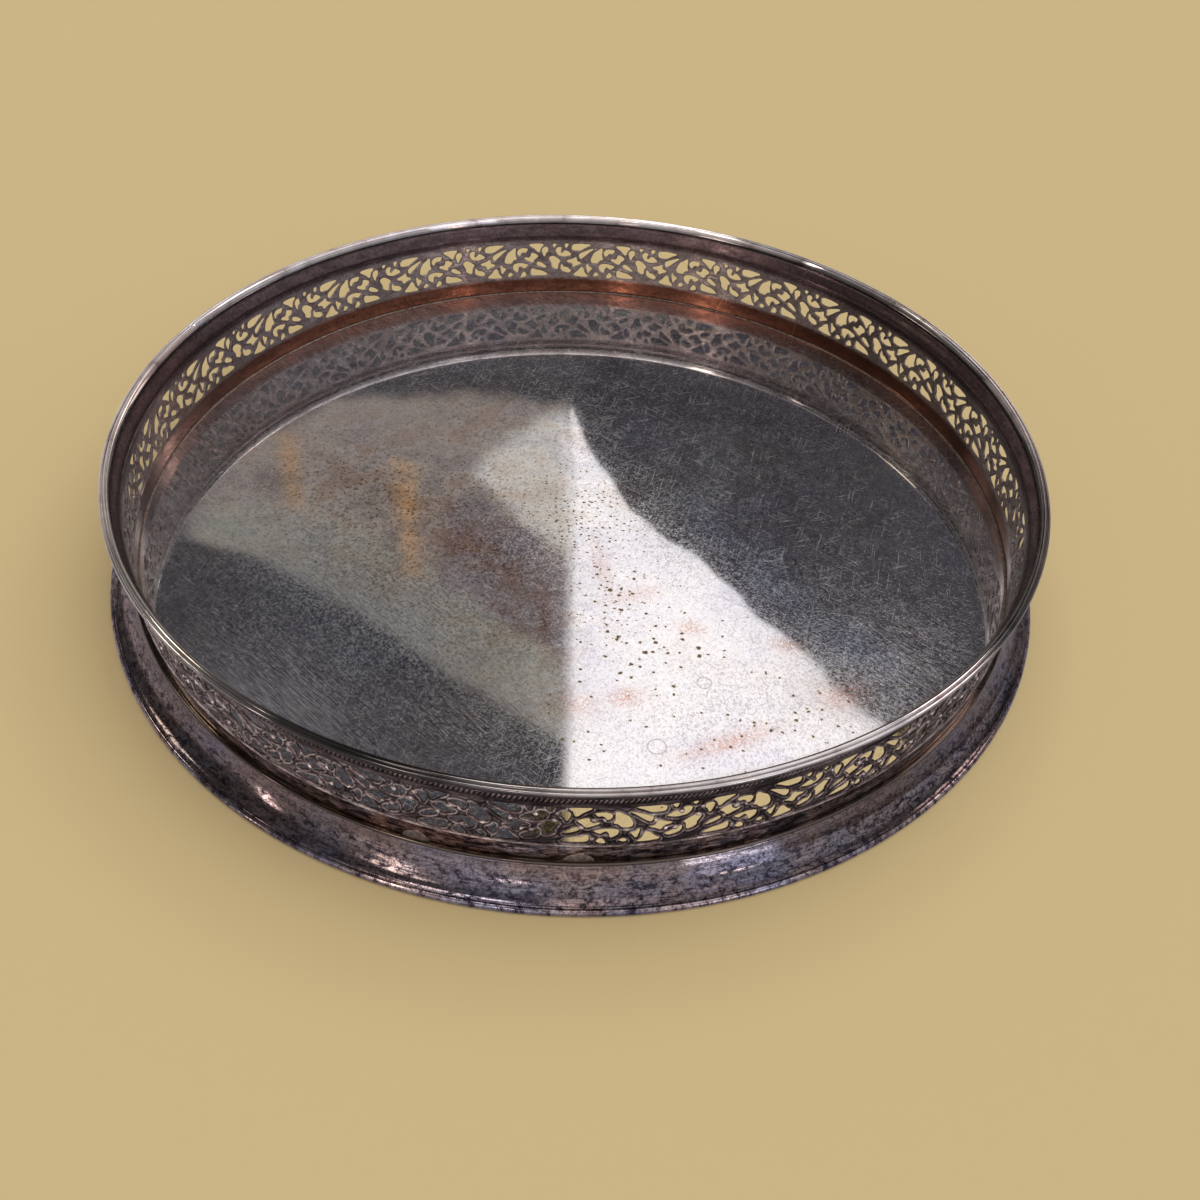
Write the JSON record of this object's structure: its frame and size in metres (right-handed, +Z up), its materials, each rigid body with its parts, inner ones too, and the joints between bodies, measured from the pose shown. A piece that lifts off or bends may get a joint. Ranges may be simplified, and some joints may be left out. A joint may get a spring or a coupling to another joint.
{
  "type": "dresser vanity tray",
  "caption": "Round gallery tray for a dressing table: flat floor inside a pierced scrollwork wall with a beaded, rolled rim, on a flared foot.",
  "frame": {"origin": "on the table top, on the tray's axis, under the middle of the foot", "axes": "+Z up along the tray's axis; -Y is the side nearest the picture's camera, +X to its right"},
  "size_m": [0.3046, 0.3046, 0.0433],
  "materials": {
    "floor_plate": "worn silver plate over copper, polished to a soft mirror, scratched and pitted",
    "pierced_gallery": "darkly tarnished silver plate over copper with black in the recesses",
    "rim_moulding": "silver plate rubbed bright on the roll, tarnished in the grooves",
    "beaded_wire": "tarnished silver plate, bright on the tops of the beads",
    "flared_foot": "mottled purple-grey tarnish over silver plate",
    "foot_edge_wire": "rubbed silver plate with dull tarnish",
    "solder": "dull grey solder"
  },
  "bodies": {
    "root": {"floor_plate": "floor_plate", "pierced_gallery": "pierced_gallery", "rim_moulding": "rim_moulding", "beaded_wire": "beaded_wire", "flared_foot": "flared_foot", "foot_edge_wire": "foot_edge_wire", "solder_run_left": "solder", "solder_run_front": "solder"}
  },
  "joints": []
}
